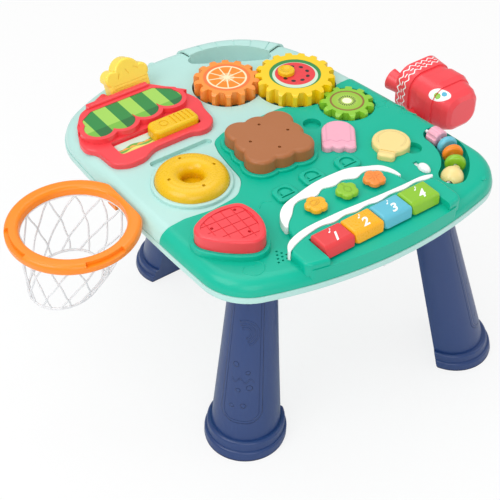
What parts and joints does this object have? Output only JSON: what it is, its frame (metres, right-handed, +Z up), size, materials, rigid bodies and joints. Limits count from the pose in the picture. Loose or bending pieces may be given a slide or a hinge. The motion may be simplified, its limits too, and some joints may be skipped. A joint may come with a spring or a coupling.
{
  "type": "toddler activity table",
  "caption": "Three-legged toddler play table with gear wheels, lift-out food blocks, piano keys, sliding shop window, bead rail, net hoop and side cup.",
  "frame": {"origin": "on the floor, below the middle of the whole outline with hoop and cup", "axes": "+X along the piano keys to the child's right, +Y away from the child, +Z up"},
  "size_m": [0.568, 0.4495, 0.3016],
  "materials": {
    "base_tray": "gloss",
    "deck_green": "gloss",
    "deck_mint": "gloss",
    "handle_grip": "gloss",
    "leg": "gloss",
    "foot": "satin",
    "screw": "brushed",
    "gear_orange": "gloss",
    "gear_yellow": "gloss",
    "gear_green": "gloss",
    "label_orange": "satin",
    "label_melon": "satin",
    "label_kiwi": "satin",
    "inner_plastic": "satin",
    "yellow": "gloss",
    "brown": "gloss",
    "coral": "gloss",
    "pink": "gloss",
    "cream": "gloss",
    "awning": "gloss",
    "picture": "satin",
    "blue": "gloss",
    "green": "gloss",
    "orange": "gloss",
    "dome_rubber": "satin",
    "circuit_board": "satin",
    "white": "gloss",
    "speaker": "satin",
    "cell": "gloss",
    "contact": "brushed",
    "net": "satin"
  },
  "bodies": {
    "table": {"base_tray": "base_tray", "leg_sockets": "base_tray", "deck_green": "deck_green", "deck_mint": "deck_mint", "handle_grip": "handle_grip", "leg_front_left": "leg", "leg_front_right": "leg", "leg_rear": "leg", "foot_front_left": "foot", "foot_front_right": "foot", "foot_rear": "foot", "leg_screws": "screw", "panel_screws": "screw", "gear_posts": "inner_plastic", "shop_frame": "coral", "awning_panel": "awning", "picture_strip": "picture", "roof_sign": "yellow", "key_domes": "dome_rubber", "button_domes": "dome_rubber", "circuit_board": "circuit_board", "trim_upper": "white", "trim_lower": "white", "speaker": "speaker", "battery_box": "inner_plastic", "battery_cells": "cell", "contact_plates": "contact", "bead_rod": "white", "release_tab": "white"},
    "wheel_melon": {"gear_melon": "gear_yellow", "label_melon": "label_melon"},
    "wheel_orange": {"gear_orange": "gear_orange", "label_orange": "label_orange"},
    "wheel_kiwi": {"gear_kiwi": "gear_green", "label_kiwi": "label_kiwi"},
    "crank_knob": {"melon_knob": "gear_yellow"},
    "donut": {"block_donut": "yellow"},
    "biscuit": {"block_biscuit": "brown"},
    "strawberry": {"block_strawberry": "coral"},
    "lolly": {"block_lolly": "pink"},
    "mushroom": {"block_mushroom": "cream"},
    "slider": {"shop_slider": "yellow"},
    "key_red": {"key_red": "coral"},
    "key_yellow": {"key_yellow": "yellow"},
    "key_blue": {"key_blue": "blue"},
    "key_green": {"key_green": "green"},
    "button_yellow": {"button_yellow": "yellow"},
    "button_green": {"button_green": "green"},
    "button_orange": {"button_orange": "orange"},
    "power_switch": {"power_switch": "white"},
    "bead_pink": {"bead_pink": "pink"},
    "bead_blue": {"bead_blue": "blue"},
    "bead_orange": {"bead_orange": "orange"},
    "bead_green": {"bead_green": "green"},
    "bead_cream": {"bead_cream": "cream"},
    "hoop": {"hoop_ring": "orange", "hoop_net": "net"},
    "cup": {"storage_cup": "coral"},
    "battery_lid": {"battery_door": "base_tray", "door_screw": "screw"}
  },
  "joints": [
    {"name": "melon_wheel_spin", "type": "hinge", "parent": "table", "child": "wheel_melon", "pos_m": [0.126, 0.0764, 0.26], "axis": [0, 0, 1], "continuous": true},
    {"name": "orange_wheel_spin", "type": "hinge", "parent": "table", "child": "wheel_orange", "pos_m": [0.05772, 0.11923, 0.26], "axis": [0, 0, 1], "continuous": true},
    {"name": "kiwi_wheel_spin", "type": "hinge", "parent": "table", "child": "wheel_kiwi", "pos_m": [0.14874, 0.00724, 0.26], "axis": [0, 0, 1], "continuous": true},
    {"name": "crank_knob_spin", "type": "hinge", "parent": "wheel_melon", "child": "crank_knob", "pos_m": [0.1185, 0.0839, 0.274], "axis": [0, 0, 1], "continuous": true},
    {"name": "donut_lift", "type": "slide", "parent": "table", "child": "donut", "axis": [0, 0, 1], "range_m": [0, 0.06]},
    {"name": "biscuit_lift", "type": "slide", "parent": "table", "child": "biscuit", "axis": [0, 0, 1], "range_m": [0, 0.06]},
    {"name": "strawberry_lift", "type": "slide", "parent": "table", "child": "strawberry", "axis": [0, 0, 1], "range_m": [0, 0.06]},
    {"name": "lolly_lift", "type": "slide", "parent": "table", "child": "lolly", "axis": [0, 0, 1], "range_m": [0, 0.06]},
    {"name": "mushroom_lift", "type": "slide", "parent": "table", "child": "mushroom", "axis": [0, 0, 1], "range_m": [0, 0.06]},
    {"name": "slider_slide", "type": "slide", "parent": "table", "child": "slider", "axis": [1, 0, 0], "range_m": [-0.04, 0]},
    {"name": "key_red_press", "type": "hinge", "parent": "table", "child": "key_red", "pos_m": [-0.022, -0.1636, 0.265], "axis": [1, 0, 0], "range_deg": [0, 4.5], "stiffness_Nm_per_rad": 1.2, "springref_deg": -1.72},
    {"name": "key_yellow_press", "type": "hinge", "parent": "table", "child": "key_yellow", "pos_m": [0.016, -0.1636, 0.265], "axis": [1, 0, 0], "range_deg": [0, 4.5], "stiffness_Nm_per_rad": 1.2, "springref_deg": -1.72},
    {"name": "key_blue_press", "type": "hinge", "parent": "table", "child": "key_blue", "pos_m": [0.054, -0.1636, 0.265], "axis": [1, 0, 0], "range_deg": [0, 4.5], "stiffness_Nm_per_rad": 1.2, "springref_deg": -1.72},
    {"name": "key_green_press", "type": "hinge", "parent": "table", "child": "key_green", "pos_m": [0.092, -0.1636, 0.265], "axis": [1, 0, 0], "range_deg": [0, 4.5], "stiffness_Nm_per_rad": 1.2, "springref_deg": -1.72},
    {"name": "button_yellow_press", "type": "slide", "parent": "table", "child": "button_yellow", "axis": [0, 0, -1], "range_m": [0, 0.0025], "stiffness_N_per_m": 500, "springref_m": -0.0012},
    {"name": "button_green_press", "type": "slide", "parent": "table", "child": "button_green", "axis": [0, 0, -1], "range_m": [0, 0.0025], "stiffness_N_per_m": 500, "springref_m": -0.0012},
    {"name": "button_orange_press", "type": "slide", "parent": "table", "child": "button_orange", "axis": [0, 0, -1], "range_m": [0, 0.0025], "stiffness_N_per_m": 500, "springref_m": -0.0012},
    {"name": "power_switch_slide", "type": "slide", "parent": "table", "child": "power_switch", "axis": [0, 1, 0], "range_m": [0, 0.01]},
    {"name": "bead_pink_spin", "type": "hinge", "parent": "table", "child": "bead_pink", "pos_m": [0.19216, -0.09812, 0.2575], "axis": [0.0349, -0.9994, 0], "continuous": true},
    {"name": "bead_blue_spin", "type": "hinge", "parent": "table", "child": "bead_blue", "pos_m": [0.19009, -0.11778, 0.2575], "axis": [-0.2419, -0.9703, 0], "continuous": true},
    {"name": "bead_orange_spin", "type": "hinge", "parent": "table", "child": "bead_orange", "pos_m": [0.18474, -0.13228, 0.2575], "axis": [-0.4462, -0.8949, 0], "continuous": true},
    {"name": "bead_green_spin", "type": "hinge", "parent": "table", "child": "bead_green", "pos_m": [0.17478, -0.14718, 0.2575], "axis": [-0.6561, -0.7547, 0], "continuous": true},
    {"name": "bead_cream_spin", "type": "hinge", "parent": "table", "child": "bead_cream", "pos_m": [0.15777, -0.16146, 0.2575], "axis": [-0.8572, -0.515, 0], "continuous": true},
    {"name": "hoop_pull", "type": "slide", "parent": "table", "child": "hoop", "axis": [-1, 0, 0], "range_m": [0, 0.025]},
    {"name": "cup_pull", "type": "slide", "parent": "table", "child": "cup", "axis": [1, 0, 0], "range_m": [0, 0.025]},
    {"name": "battery_lid_lower", "type": "slide", "parent": "table", "child": "battery_lid", "axis": [0, 0, -1], "range_m": [0, 0.03]}
  ],
  "couplings": [
    {"joint": "orange_wheel_spin", "follows": "melon_wheel_spin", "ratio": -1.2143},
    {"joint": "kiwi_wheel_spin", "follows": "melon_wheel_spin", "ratio": -1.5455}
  ]
}
